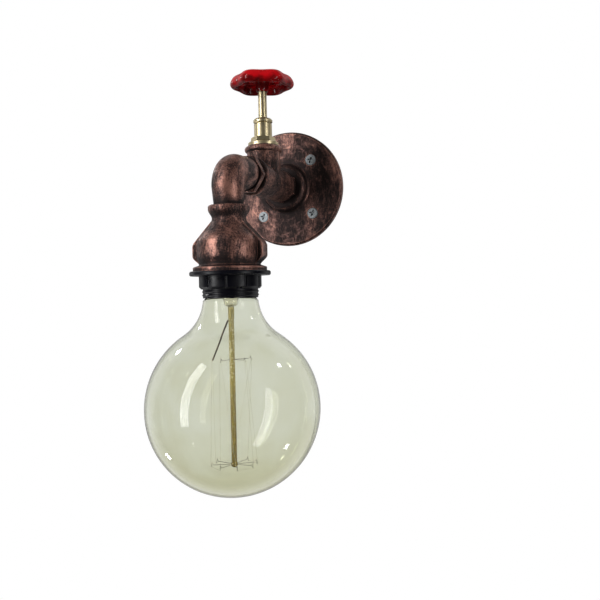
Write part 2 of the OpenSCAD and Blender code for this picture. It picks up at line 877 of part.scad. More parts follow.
module handwheel() {
    color(red_enamel)
        on_tap_axis()
            rotate([0, 0, wheel_turn])
                difference() {
                    wheel_body();
                    translate([0, 0, wheel_base - past])
                        cylinder(r = tang_r, h = hub_len + 2 * past);
                    for (i = [0 : lobes - 1]) {
                        rotate([0, 0, 360 / lobes * (i + 0.5)])
                            translate([0, 0, rim_base - past])
                                linear_extrude(rim_h + 2 * past)
                                    spoke_window();
                    }
                }
}

module wheel_washer() {
    color(zinc)
        on_tap_axis()
            translate([0, 0, wheel_top])
                difference() {
                    cylinder(r = washer_r, h = washer_t);
                    translate([0, 0, -past])
                        cylinder(r = stud_r + fit_gap, h = washer_t + 2 * past);
                }
}

module wheel_nut() {
    color(zinc)
        on_tap_axis()
            translate([0, 0, wheel_top + washer_t])
                difference() {
                    turned_hex(nut_af, nut_h);
                    translate([0, 0, -past])
                        cylinder(r = stud_r + thread_gap, h = nut_h + 2 * past);
                }
}

// Outline of the skirt's outside: rounded thread ridges from the mouth to its top
function skirt_ridges() =
    let (turns = floor((skirt_top - mouth_z - 1) / skirt_pitch))
    [for (i = [0 : turns - 1])
        for (p = [[0, 0.15], [1, 0.4], [1, 0.6], [0, 0.85]])
            [skirt_r - skirt_thread * (1 - p[0]), mouth_z + 0.8 + skirt_pitch * (i + p[1])]];

module lampholder_skirt() {
    root = skirt_r - skirt_thread;
    mouth_in = root - skirt_wall;
    color(black_moulding)
        on_lamp_axis()
            rotate_extrude()
                polygon(concat(
                    [[mouth_in, mouth_z], [root, mouth_z]],
                    skirt_ridges(),
                    [[root, skirt_top], [skirt_in_r, skirt_top], [skirt_in_r, base_bottom]],
                    [[ledge_r, base_bottom], [ledge_r, base_bottom - ledge_h]],
                    [[mouth_in, base_bottom - ledge_h - 1]]));
}

module lampholder_hood() {
    color(black_moulding)
        on_lamp_axis()
            translate([0, 0, base_top])
                rotate_extrude()
                    polygon([[base_r - hood_wall, 0], [base_r, 0], [base_r - 0.4, 1],
                        [hood_top_r, hood_h - 1], [hood_top_r - 1, hood_h], [wire_hole_r, hood_h],
                        [wire_hole_r, hood_h - hood_wall], [hood_top_r - 1.6, hood_h - hood_wall]]);
}

module shade_ring() {
    color(black_moulding)
        on_lamp_axis()
            translate([0, 0, socket_foot])
                difference() {
                    rotate_extrude()
                        polygon([[skirt_r + thread_gap, 0], [ring_d / 2 - 0.7, 0], [ring_d / 2, -0.7],
                            [ring_d / 2, 0.7 - ring_t], [ring_d / 2 - 0.7, -ring_t],
                            [grip_d / 2, -ring_t], [grip_d / 2, 1.6 - ring_h],
                            [grip_d / 2 - 1.4, -ring_h], [skirt_r + thread_gap, -ring_h]]);
                    for (i = [0 : grip_grooves - 1]) {
                        rotate([0, 0, 360 / grip_grooves * i])
                            translate([grip_d / 2 + 0.3, 0, -ring_h - past])
                                cylinder(r = 1.1, h = ring_h - ring_t - 0.6 + past);
                    }
                }
}

module contact_base() {
    color(black_moulding)
        on_lamp_axis()
            difference() {
                union() {
                    translate([0, 0, base_bottom])
                        cylinder(r = base_r, h = base_t);
                    translate([0, 0, base_bottom - shell_len - 1])
                        cylinder(r = collar_r, h = shell_len + 1 + past);
                }
                translate([0, 0, base_bottom - shell_len - 1 - past])
                    cylinder(r = shell_r + fit_gap, h = shell_len + 1 + past);
                for (side = [-1, 1]) {
                    translate([side * terminal_x, 0, base_bottom - past])
                        cylinder(r = terminal_r / 2 + fit_gap, h = base_t + 2 * past);
                }
            }
}

module screw_shell() {
    color(pale_brass)
        on_lamp_axis()
            translate([0, 0, base_bottom - shell_len])
                difference() {
                    cylinder(r = shell_r, h = shell_len - contact_t);
                    translate([0, 0, -past])
                        cylinder(r = shell_in_r, h = shell_len + 2 * past);
                }
}

// Springy tongue from the live terminal to the middle of the base
module centre_contact() {
    start = terminal_x + terminal_r / 2;
    color(pale_brass)
        on_lamp_axis()
            rotate([90, 0, 0])
                linear_extrude(contact_w, center = true)
                    polygon([[start, base_bottom], [start, base_bottom - contact_t],
                        [6, base_bottom - contact_t], [3, base_bottom - contact_drop],
                        [-3, base_bottom - contact_drop], [-3, base_bottom - contact_drop + contact_t],
                        [2.8, base_bottom - contact_drop + contact_t], [5.6, base_bottom]]);
}

// Strip from the neutral terminal to the top of the screw shell
module side_contact() {
    color(pale_brass)
        on_lamp_axis()
            translate([contact_t - shell_r, -contact_w / 2, base_bottom - contact_t])
                cube([shell_r - contact_t - terminal_x + terminal_r / 2, contact_w, contact_t]);
}

module terminal_screws() {
    color(zinc)
        on_lamp_axis()
            for (side = [-1, 1]) {
                translate([side * terminal_x, 0, base_bottom]) {
                    cylinder(r = terminal_r / 2, h = base_t);
                    translate([0, 0, base_t])
                        cylinder(r = terminal_r, h = 1.6);
                }
            }
}

module bulb_cap() {
    color(pale_brass)
        on_lamp_axis()
            rotate_extrude()
                polygon([[insulator_r + fit_gap, tip_z - insulator_h], [cap_r - 0.8, tip_z - insulator_h],
                    [cap_r, tip_z - insulator_h - 1], [cap_r, glass_top - seal_len],
                    [cap_r - cap_wall, glass_top - seal_len], [cap_r - cap_wall, tip_z - insulator_h - 1],
                    [insulator_r + fit_gap, tip_z - insulator_h - cap_wall]]);
}

module bulb_insulator() {
    color(black_moulding)
        on_lamp_axis()
            rotate_extrude()
                polygon([[0, tip_z - tip_h], [tip_r, tip_z - tip_h], [insulator_r, tip_z - insulator_h],
                    [insulator_r, tip_z - insulator_h - 1.6], [0, tip_z - insulator_h - 1.6]]);
}

module bulb_tip() {
    color(zinc)
        on_lamp_axis()
            rotate_extrude()
                polygon([[0, tip_z], [2.2, tip_z], [3.8, tip_z - 0.5], [tip_r - 0.2, tip_z - tip_h],
                    [0, tip_z - tip_h]]);
}

// Outside of the bulb from the globe's centre, drawn smaller by inset for the inside of the glass
module globe_outline(inset) {
    r = globe_r - inset;
    curve = neck_curve + inset;
    joint = curve_centre - curve * neck_out;
    touch = curve_centre * r / (globe_r + neck_curve);
    neck = neck_start - inset * neck_out;
    lip = glass_top - seal_len - globe_z;
    intersection() {
        union() {
            circle(r = r, $fn = 128);
            difference() {
                translate([0, touch[1]])
                    square([touch[0], joint[1] - touch[1]]);
                translate(curve_centre)
                    circle(r = curve, $fn = 128);
            }
            polygon([[0, joint[1] - 0.01], [joint[0], joint[1] - 0.01], joint, neck,
                [seal_r - inset, lip - inset / 2], [seal_r - inset, lip + seal_len], [0, lip + seal_len]]);
        }
        translate([0, -globe_r])
            square([globe_r, globe_r + lip + seal_len]);
    }
}

module bulb_glass() {
    color(amber_glass)
        on_lamp_axis()
            translate([0, 0, globe_z])
                difference() {
                    rotate_extrude()
                        globe_outline(0);
                    rotate_extrude()
                        globe_outline(glass_t);
                }
}

// Funnel that closes the neck, drawn in to a press that grips the rod
module glass_stem() {
    rim = seal_r - glass_t - fit_gap;
    flare_z = glass_top - seal_len - flare_h;
    tube_z = press_top + stem_end;
    end_centre = [press_r, tube_z];
    color(amber_glass)
        on_lamp_axis()
            rotate_extrude()
                polygon(concat(
                    [[rim - stem_wall, glass_top - seal_len], [rim, glass_top - seal_len]],
                    ease([rim, flare_z], [stem_r, tube_z + 1]),
                    arc(end_centre, stem_end, 0, -90),
                    [[press_r, press_top - press_len], [0, press_top - press_len], [0, press_top + stem_wall]],
                    arc(end_centre, stem_end - stem_wall, -90, 0),
                    ease([stem_r - stem_wall, tube_z + 1], [rim - stem_wall, flare_z])));
}

module glass_rod() {
    color(amber_glass)
        on_lamp_axis() {
            translate([0, 0, lower_z + 1])
                cylinder(r = rod_r, h = press_top - press_len - lower_z - 1);
            translate([0, 0, lower_z])
                sphere(r = rod_r + 0.5);
        }
}

// Directions of the hooks, so that the leads end on the left as one faces the lamp
function upper_dir(i) = 190 + 360 / (upper_count + 1) * i;
function lower_dir(i) = 190 + 360 / hook_count * (i + 0.5);
function spot(turn, r, z) = [r * cos(turn), r * sin(turn), z];

module lead_wires() {
    color(steel_wire)
        on_lamp_axis()
            for (side = [-1, 1]) {
                bar([-rod_r - lead_d / 2 - fit_gap, side * lead_gap, press_top - press_len - lead_d / 2],
                    spot(upper_dir(0) - side * lead_spread, upper_hook_r, upper_z - 0.8), lead_d / 2);
            }
}

// One hook: an arm out of the rod, bent up and then down at its end
module hook(turn, start, reach, z, rise) {
    points = [[start, z], [reach - hook_bend, z + rise], [reach - hook_bend / 3, z + rise + hook_peak],
        [reach, z - hook_drop]];
    places = [for (p = points) spot(turn, p[0], p[1])];
    across = [for (p = points) [-sin(turn), cos(turn), 0]];
    tube(places, across, hook_d / 2, hook_sides);
}

module upper_hooks() {
    color(steel_wire)
        on_lamp_axis()
            for (i = [1 : upper_count]) {
                hook(upper_dir(i), rod_r + fit_gap, upper_hook_r, upper_z, 0);
            }
}

module lower_hooks() {
    color(steel_wire)
        on_lamp_axis()
            for (i = [0 : hook_count - 1]) {
                hook(lower_dir(i), rod_r + 0.8, lower_hook_r, lower_z, 0.3);
            }
}

// Ends of the filament's runs in turn: which hook, and the way round to the next
function filament_stops() = concat(
    [["lead", 1]],
    [for (i = [0 : hook_count - 1])
        for (stop = floor((i + 1) * upper_count / hook_count) > floor(i * upper_count / hook_count)
                && i < hook_count - 1 ?
                [["low", i], ["up", floor((i + 1) * upper_count / hook_count)]] : [["low", i]])
            stop],
    [["lead", -1]]);

function stop_turn(stop) =
    stop[0] == "lead" ? upper_dir(0) + stop[1] * lead_spread
    : stop[0] == "up" ? upper_dir(stop[1]) : lower_dir(stop[1]);
function stop_r(stop) = (stop[0] == "low" ? lower_hook_r : upper_hook_r) + (hook_d + filament_d) / 2 + 0.1;
function stop_z(stop) = (stop[0] == "low" ? lower_z - 0.8 : upper_z - 0.4);

// The filament passes each hook in three points, so that it bends round the hook's end
function filament_turns() = [
    for (stop = filament_stops())
        let (away = stop[0] == "low" ? -0.5 : 0.5)
        for (k = stop[0] == "lead" ? [0] : [-1, 0, 1])
            spot(stop_turn(stop) + 2.4 * k, stop_r(stop), stop_z(stop) + (k == 0 ? away : 0))];

module filament() {
    places = filament_turns();
    outward = [for (p = places) [p[0], p[1], 0]];
    color(steel_wire)
        on_lamp_axis()
            tube(places, outward, filament_d / 2, hook_sides);
}

// Points of a route with one more point on the curve between each two
function fair(route) =
    let (last = len(route) - 1)
    [for (i = [0 : last])
        let (a = route[max(i - 1, 0)], b = route[i], c = route[min(i + 1, last)], d = route[min(i + 2, last)])
        for (p = i == last ? [b] : [b, (9 * (b + c) - a - d) / 16])
            p];

// Insulated wire along a route
module swept_wire(route) {
    places = [for (p = route) [p[0], -p[1], p[2]]];
    across = [for (p = route) [1, 0, 0]];
    tube(places, across, wire_r, wire_sides);
}

module live_wire() {
    color("saddlebrown")
        swept_wire(fair(live_route));
}

module neutral_wire() {
    color("steelblue")
        mirror([1, 0, 0])
            swept_wire(fair(live_route));
}

module wire_ferrules() {
    color(zinc)
        for (side = [-1, 1]) {
            translate([side * live_route[0][0], -0.2, live_route[0][2]])
                rotate([90, 0, 0])
                    difference() {
                        cylinder(r = wire_r + ferrule_wall, h = ferrule_len - 0.2);
                        translate([0, 0, -past])
                            cylinder(r = wire_r + 0.05, h = ferrule_len + past);
                    }
        }
}

wall_flange();
wall_screws();
wall_nipple();
tee();
arm_nipple();
street_elbow();
reducing_socket();
bonnet_gasket();
bonnet();
gland_packing();
gland_nut();
spindle();
valve_jumper();
valve_disc();
disc_screw();
handwheel();
wheel_washer();
wheel_nut();
lampholder_skirt();
lampholder_hood();
shade_ring();
contact_base();
screw_shell();
centre_contact();
side_contact();
terminal_screws();
bulb_cap();
bulb_insulator();
bulb_tip();
bulb_glass();
glass_stem();
glass_rod();
lead_wires();
upper_hooks();
lower_hooks();
filament();
live_wire();
neutral_wire();
wire_ferrules();
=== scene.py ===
"""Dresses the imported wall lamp: finishes, a smooth cast handwheel, a bare pipe thread and a studio."""

import math

import bmesh
import bpy
from mathutils import Matrix, Vector


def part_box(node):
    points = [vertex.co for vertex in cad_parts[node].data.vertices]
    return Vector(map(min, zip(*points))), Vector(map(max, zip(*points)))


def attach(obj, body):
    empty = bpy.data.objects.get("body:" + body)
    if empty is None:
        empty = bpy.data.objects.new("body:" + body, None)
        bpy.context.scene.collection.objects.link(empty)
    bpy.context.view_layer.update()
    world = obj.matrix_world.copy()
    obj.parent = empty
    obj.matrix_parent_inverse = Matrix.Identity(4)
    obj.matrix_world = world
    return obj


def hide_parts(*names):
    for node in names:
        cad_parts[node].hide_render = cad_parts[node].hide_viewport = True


bl_info = {
    "name": "Pipe wall lamp",
    "version": (1, 0, 0),
    "blender": (4, 5, 0),
    "location": "View3D > Sidebar > Wall lamp",
    "description": "Finishes and studio for a wall lamp made of pipe fittings",
    "category": "Object",
}

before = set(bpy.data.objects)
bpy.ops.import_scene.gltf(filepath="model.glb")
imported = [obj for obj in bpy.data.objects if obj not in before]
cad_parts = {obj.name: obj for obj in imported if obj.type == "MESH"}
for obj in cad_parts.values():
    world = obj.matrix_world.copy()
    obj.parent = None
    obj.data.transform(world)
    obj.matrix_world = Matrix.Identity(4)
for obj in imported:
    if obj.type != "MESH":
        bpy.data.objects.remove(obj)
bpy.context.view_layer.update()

MM = 0.001


def linear(hex_text):
    """Turns an sRGB hex colour into linear red, green, blue and full alpha."""
    parts = [int(hex_text[i:i + 2], 16) / 255 for i in (1, 3, 5)]
    return tuple(c / 12.92 if c <= 0.04045 else ((c + 0.055) / 1.055) ** 2.4 for c in parts) + (1.0,)


def per_metre(size_mm):
    """Scale of a pattern whose grains are the given size, in grains to the metre."""
    return 1000 / size_mm


def colour_setting(name, description, hex_text):
    """A colour among the lamp's settings, with its default as sRGB hex."""
    return bpy.props.FloatVectorProperty(
        name=name, description=description, subtype="COLOR", size=4, min=0, max=1, default=linear(hex_text))


class FinishColours(bpy.types.PropertyGroup):
    """Colours of the lamp's finishes."""

    soot: colour_setting("Soot", "Darkest patina, in the hollows", "#18100f")
    brown: colour_setting("Brown", "Patina over most of the iron", "#422e2a")
    copper: colour_setting("Copper", "Copper where the patina is rubbed back", "#865f53")
    brass: colour_setting("Brass", "Polished tap head", "#b5a886")
    enamel: colour_setting("Enamel", "Red of the handwheel", "#900107")
    moulding: colour_setting("Moulding", "Black of the lampholder", "#040409")
    glass: colour_setting("Glass", "Globe where its lustre is thin", "#eceee7")
    lustre: colour_setting("Lustre", "Globe where its lustre is thick", "#e1e1cf")


class WheelSizes(bpy.types.PropertyGroup):
    """Sizes of the cast handwheel."""

    across: bpy.props.FloatProperty(
        name="Across", description="Diameter across the lobes", unit="LENGTH", default=0.0518)
    hollow: bpy.props.FloatProperty(
        name="Hollow", description="Depth of the hollows between lobes", unit="LENGTH", default=0.0034)
    spoke: bpy.props.FloatProperty(
        name="Spoke", description="Width of a spoke", unit="LENGTH", default=0.0064)
    lobes: bpy.props.IntProperty(
        name="Lobes", description="Number of lobes and of spokes", default=6)
    turn: bpy.props.FloatProperty(
        name="Turn", description="Turn of the wheel about its spindle",
        subtype="ANGLE", default=math.radians(23))


class ThreadSizes(bpy.types.PropertyGroup):
    """Sizes of the half-inch pipe thread."""

    pitch: bpy.props.FloatProperty(
        name="Pitch", description="Distance from one thread to the next", unit="LENGTH", default=0.001814)
    depth: bpy.props.FloatProperty(
        name="Depth", description="Height of a thread above the nipple's plain bar",
        unit="LENGTH", default=0.00062)
    bar: bpy.props.FloatProperty(
        name="Bar", description="Radius of the nipple's plain bar", unit="LENGTH", default=0.0099)
    first: bpy.props.FloatProperty(
        name="First", description="Start of the thread, out from the tee's face",
        unit="LENGTH", default=0.0002)
    last: bpy.props.FloatProperty(
        name="Last", description="End of the thread, out from the tee's face", unit="LENGTH", default=0.0053)


class StudioSettings(bpy.types.PropertyGroup):
    """Light, floor and camera."""

    floor_height: bpy.props.FloatProperty(
        name="Floor", description="Height of the floor against the wall plate's centre",
        unit="LENGTH", default=-0.8)
    floor_radius: bpy.props.FloatProperty(
        name="Floor radius", description="Radius of the round floor", unit="LENGTH", default=0.9)
    ambient: bpy.props.FloatProperty(
        name="Ambient", description="Even light from the room, above the lamp", default=0.6)
    ground: bpy.props.FloatProperty(
        name="Ground", description="Even light from the room, below the lamp", default=0.2)
    light_power: bpy.props.FloatProperty(
        name="Lights", description="Power that each light's share is taken from", unit="POWER", default=16.0)
    focal_length: bpy.props.FloatProperty(
        name="Focal length", description="Camera lens", unit="CAMERA", default=43.648)


def add_node(tree, kind, inputs=None, stops=None, **settings):
    """Adds one node. Inputs hold plain values or the sockets that feed them; stops fill a colour ramp."""
    made = tree.nodes.new(kind)
    for name, value in settings.items():
        setattr(made, name, value)
    for name, value in (inputs or {}).items():
        if isinstance(value, bpy.types.NodeSocket):
            tree.links.new(value, made.inputs[name])
        else:
            made.inputs[name].default_value = value
    for i, (place, colour) in enumerate(stops or []):
        ramp = made.color_ramp.elements
        stop = ramp[i] if i < len(ramp) else ramp.new(place)
        stop.position = place
        stop.color = colour
    return made


def new_material(name, shader, volume=None):
    """Starts a material with one principled shader, over an absorbing volume where one is given. Returns the
    material, its tree and the shader."""
    made = bpy.data.materials.new(name)
    made.use_nodes = True
    tree = made.node_tree
    tree.nodes.clear()
    body = add_node(tree, "ShaderNodeBsdfPrincipled", shader)
    ends = {"Surface": body.outputs["BSDF"]}
    if volume:
        ends["Volume"] = add_node(tree, "ShaderNodeVolumeAbsorption", volume).outputs["Volume"]
    add_node(tree, "ShaderNodeOutputMaterial", ends)
    return made, tree, body


def finish_nodes(names, material):
    """Gives CAD nodes a material."""
    for name in names:
        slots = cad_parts[name].data.materials
        slots.clear()
        slots.append(material)


def grey(value):
    """A plain grey for a ramp stop."""
    return (value, value, value, 1.0)


def mixed_colour(tree, share, first, second):
    """Socket with a colour that goes from the first to the second as the share goes from 0 to 1."""
    made = add_node(tree, "ShaderNodeMix", {0: share, 6: first, 7: second}, data_type="RGBA")
    return made.outputs[2]


def patinated_iron(name, smear, span, pitted, rubbed_back, seed):
    """Malleable iron, copper plated, blackened and rubbed back by hand. The plating shows on edges and
    high places and in wiped smears, the hollows are darkened by soot and by painted shade, and fine
    scratches cross the rubbed parts. Smear is the weight of the smears and span their size, pitted the
    weight of the fine grain, rubbed_back how far the whole piece is rubbed, and seed picks the pattern."""
    finish = bpy.context.scene.lamp_finish
    made, tree, body = new_material(name, {"Metallic": 0.65, "Specular IOR Level": 0.3})
    place = add_node(tree, "ShaderNodeTexCoord").outputs["Object"]
    wiped = add_node(tree, "ShaderNodeMapping", {
        "Vector": place, "Rotation": (0.3, 0.6, 0.2),
        "Scale": (per_metre(11 * span), per_metre(15 * span), per_metre(24 * span))})
    cloud = add_node(tree, "ShaderNodeTexNoise", {
        "Vector": wiped.outputs["Vector"], "Scale": 1.0, "W": seed, "Detail": 4.0, "Roughness": 0.55,
        "Distortion": 0.7}, noise_dimensions="4D")
    rub = add_node(tree, "ShaderNodeTexNoise", {
        "Vector": place, "Scale": per_metre(3.2), "Detail": 6.0, "Roughness": 0.7})
    grain = add_node(tree, "ShaderNodeTexNoise", {
        "Vector": place, "Scale": per_metre(1.1), "Detail": 3.0, "Roughness": 0.65})
    drawn = add_node(tree, "ShaderNodeMapping", {
        "Vector": place, "Rotation": (0.6, 0.9, 0.8), "Scale": (per_metre(0.35), per_metre(5), per_metre(5))})
    scratch = add_node(tree, "ShaderNodeTexNoise", {
        "Vector": drawn.outputs["Vector"], "Scale": 1.0, "Detail": 2.0, "Roughness": 0.5})
    crossed = add_node(tree, "ShaderNodeMapping", {
        "Vector": place, "Rotation": (-0.4, 0.3, 1.1), "Scale": (per_metre(6), per_metre(0.4), per_metre(6))})
    cross = add_node(tree, "ShaderNodeTexNoise", {
        "Vector": crossed.outputs["Vector"], "Scale": 1.0, "Detail": 2.0, "Roughness": 0.5})
    either = add_node(tree, "ShaderNodeMath", {0: scratch.outputs["Fac"], 1: cross.outputs["Fac"]},
                      operation="MAXIMUM")
    scratch_line = add_node(tree, "ShaderNodeMapRange", {
        "Value": either.outputs["Value"], "From Min": 0.5, "From Max": 0.78, "To Min": -0.05, "To Max": 0.2})
    # rounded normals differ from the true ones only near an edge
    rounded = add_node(tree, "ShaderNodeBevel", {"Radius": 1.6 * MM}, samples=6)
    true_normal = add_node(tree, "ShaderNodeNewGeometry").outputs["Normal"]
    along = add_node(tree, "ShaderNodeVectorMath", {0: rounded.outputs["Normal"], 1: true_normal},
                     operation="DOT_PRODUCT")
    edge = add_node(tree, "ShaderNodeMapRange", {
        "Value": along.outputs["Value"], "From Min": 1.0, "From Max": 0.84, "To Min": 0.0, "To Max": 0.42})
    patch = add_node(tree, "ShaderNodeMath", {0: cloud.outputs["Fac"], 1: smear}, operation="MULTIPLY")
    rubbed = add_node(tree, "ShaderNodeMath", {
        0: rub.outputs["Fac"], 1: 0.24, 2: patch.outputs["Value"]}, operation="MULTIPLY_ADD")
    grained = add_node(tree, "ShaderNodeMath", {
        0: grain.outputs["Fac"], 1: pitted, 2: rubbed.outputs["Value"]}, operation="MULTIPLY_ADD")
    scored = add_node(tree, "ShaderNodeMath", {
        0: grained.outputs["Value"], 1: scratch_line.outputs["Result"]})
    edged = add_node(tree, "ShaderNodeMath", {0: scored.outputs["Value"], 1: edge.outputs["Result"]})
    # darker where ambient occlusion finds the surface hemmed in: soot left in corners that a cloth can't
    # reach, and painted shade there as well
    open_sky = add_node(tree, "ShaderNodeAmbientOcclusion", {"Distance": 16 * MM}, samples=8)
    hollow_soot_and_shade = add_node(tree, "ShaderNodeMapRange", {
        "Value": open_sky.outputs["AO"], "From Min": 0.98, "From Max": 0.55, "To Min": 0.0, "To Max": 0.45})
    after_soot_and_shade = add_node(tree, "ShaderNodeMath", {0: edged.outputs["Value"], 1: hollow_soot_and_shade.outputs["Result"]},
                       operation="SUBTRACT")
    worn = add_node(tree, "ShaderNodeMath", {0: after_soot_and_shade.outputs["Value"], 1: rubbed_back})
    colour = add_node(tree, "ShaderNodeValToRGB", {"Fac": worn.outputs["Value"]}, stops=[
        (0.54, finish.soot), (0.66, finish.brown), (0.88, finish.copper)])
    rough = add_node(tree, "ShaderNodeMapRange", {
        "Value": worn.outputs["Value"], "From Min": 0.5, "From Max": 0.8, "To Min": 0.6, "To Max": 0.3})
    relief = add_node(tree, "ShaderNodeMath", {0: grain.outputs["Fac"], 1: 0.7, 2: rub.outputs["Fac"]},
                      operation="MULTIPLY_ADD")
    bump = add_node(tree, "ShaderNodeBump", {
        "Height": relief.outputs["Value"], "Strength": 0.8, "Distance": 0.3 * MM})
    tree.links.new(colour.outputs["Color"], body.inputs["Base Color"])
    tree.links.new(rough.outputs["Result"], body.inputs["Roughness"])
    tree.links.new(bump.outputs["Normal"], body.inputs["Normal"])
    return made


def arm_patina():
    """Patina of the arm, well rubbed, so that its round sides shine coppery."""
    return patinated_iron(
        "rubbed patina on malleable iron", smear=1.05, span=1.0, pitted=0.65, rubbed_back=-0.275, seed=1.0)


def plate_patina_painted_darker():
    """Patina of the plate behind the arm, rubbed in broad strokes, so that dark and coppery smears meet. It
    is set darker overall than the arm's, partly as painted shade on the plate.
    """
    # less rubbed back and fainter smears than the arm: the plate comes out darker, partly as painted shade
    return patinated_iron(
        "dark patina and painted shade on malleable iron", smear=0.8, span=1.7, pitted=0.28, rubbed_back=-0.045, seed=12.0)


def polished_brass():
    """Turned and buffed yellow brass, paled by a thin nickel flash. It mirrors the banks of tubes as bright
    bands with a dark middle, and fine turning lines run round it."""
    finish = bpy.context.scene.lamp_finish
    made, tree, body = new_material("polished brass", {"Metallic": 1.0, "Base Color": finish.brass})
    place = add_node(tree, "ShaderNodeTexCoord").outputs["Object"]
    # turning lines are far finer than a pixel, so they are drawn 0.7 mm apart
    lines = add_node(tree, "ShaderNodeMapping", {
        "Vector": place, "Scale": (per_metre(60), per_metre(60), per_metre(0.7))})
    turned = add_node(tree, "ShaderNodeTexNoise", {
        "Vector": lines.outputs["Vector"], "Scale": 1.0, "Detail": 3.0, "Roughness": 0.6})
    smear = add_node(tree, "ShaderNodeTexNoise", {
        "Vector": place, "Scale": per_metre(5), "Detail": 3.0})
    mixed = add_node(tree, "ShaderNodeMath", {0: turned.outputs["Fac"], 1: smear.outputs["Fac"]})
    rough = add_node(tree, "ShaderNodeMapRange", {
        "Value": mixed.outputs["Value"], "From Min": 0.7, "From Max": 1.3, "To Min": 0.33, "To Max": 0.42})
    bump = add_node(tree, "ShaderNodeBump", {
        "Height": turned.outputs["Fac"], "Strength": 0.06, "Distance": 0.05 * MM})
    tree.links.new(rough.outputs["Result"], body.inputs["Roughness"])
    tree.links.new(bump.outputs["Normal"], body.inputs["Normal"])
    return made


def stove_enamel():
    """Thick red stove enamel over a casting, under a thin clear gloss with a slow ripple where the enamel
    sagged: bright red above, and painted darker towards the lower edge and in the corners as painted shade."""
    finish = bpy.context.scene.lamp_finish
    made, tree, body = new_material("red stove enamel", {
        "Roughness": 0.4, "Coat Weight": 0.22, "Coat Roughness": 0.04, "IOR": 1.45,
        "Specular IOR Level": 0.05})
    coordinates = add_node(tree, "ShaderNodeTexCoord")
    place = coordinates.outputs["Object"]
    sag = add_node(tree, "ShaderNodeTexNoise", {"Vector": place, "Scale": per_metre(6), "Detail": 2.0})
    shade_share = 0.16
    painted_shade_red = tuple(c * shade_share for c in finish.enamel[:3]) + (1.0,)
    # painted shade: the red turns dark towards the lower edge and in the corners, where the wheel is out of
    # the light
    spread = coordinates.outputs["Generated"]
    height = add_node(tree, "ShaderNodeSeparateXYZ", {"Vector": spread}).outputs["Z"]
    lower_shade = add_node(tree, "ShaderNodeMapRange", {
        "Value": height, "From Min": 0.3, "From Max": 0.7, "To Min": 0.5, "To Max": 1.0})
    open_sky = add_node(tree, "ShaderNodeAmbientOcclusion", {"Distance": 16 * MM}, samples=8)
    bare = add_node(tree, "ShaderNodeMath", {0: lower_shade.outputs["Result"], 1: open_sky.outputs["AO"]},
                    operation="MULTIPLY")
    # the sag's uneven tone, pushed towards the painted shade red low down and in the corners
    thin = add_node(tree, "ShaderNodeMath", {0: sag.outputs["Fac"], 1: bare.outputs["Value"]},
                    operation="MULTIPLY")
    colour = add_node(tree, "ShaderNodeValToRGB", {"Fac": thin.outputs["Value"]}, stops=[
        (0.2, painted_shade_red), (0.5, finish.enamel)])
    ripple = add_node(tree, "ShaderNodeTexNoise", {"Vector": place, "Scale": per_metre(5), "Detail": 1.0})
    bump = add_node(tree, "ShaderNodeBump", {
        "Height": ripple.outputs["Fac"], "Strength": 0.06, "Distance": 0.1 * MM})
    tree.links.new(colour.outputs["Color"], body.inputs["Base Color"])
    tree.links.new(bump.outputs["Normal"], body.inputs["Normal"])
    tree.links.new(bump.outputs["Normal"], body.inputs["Coat Normal"])
    return made


def phenolic_moulding():
    """Black phenolic moulding, straight from a polished mould: nearly black with a soft bluish sheen, dulled
    here and there by handling."""
    finish = bpy.context.scene.lamp_finish
    made, tree, body = new_material("black phenolic moulding", {
        "Base Color": finish.moulding, "IOR": 1.45, "Specular IOR Level": 0.16})
    place = add_node(tree, "ShaderNodeTexCoord").outputs["Object"]
    handling = add_node(tree, "ShaderNodeTexNoise", {"Vector": place, "Scale": per_metre(7), "Detail": 4.0})
    rough = add_node(tree, "ShaderNodeMapRange", {
        "Value": handling.outputs["Fac"], "From Min": 0.3, "From Max": 0.7, "To Min": 0.24, "To Max": 0.42})
    pits = add_node(tree, "ShaderNodeTexNoise", {"Vector": place, "Scale": per_metre(0.8), "Detail": 2.0})
    bump = add_node(tree, "ShaderNodeBump", {
        "Height": pits.outputs["Fac"], "Strength": 0.12, "Distance": 0.1 * MM})
    tree.links.new(rough.outputs["Result"], body.inputs["Roughness"])
    tree.links.new(bump.outputs["Normal"], body.inputs["Normal"])
    return made


def zinc_plate():
    """Zinc plate on steel screws and nuts: a dull mid-grey metal with a faint cloudy spangle."""
    made, tree, body = new_material("zinc plate", {"Metallic": 0.9})
    place = add_node(tree, "ShaderNodeTexCoord").outputs["Object"]
    spangle = add_node(tree, "ShaderNodeTexVoronoi", {"Vector": place, "Scale": per_metre(1.5)})
    colour = add_node(tree, "ShaderNodeValToRGB", {"Fac": spangle.outputs["Distance"]}, stops=[
        (0.1, linear("#565a5c")), (0.7, linear("#767a7c"))])
    rough = add_node(tree, "ShaderNodeMapRange", {
        "Value": spangle.outputs["Distance"], "From Min": 0.0, "From Max": 0.8,
        "To Min": 0.42, "To Max": 0.55})
    tree.links.new(colour.outputs["Color"], body.inputs["Base Color"])
    tree.links.new(rough.outputs["Result"], body.inputs["Roughness"])
    return made


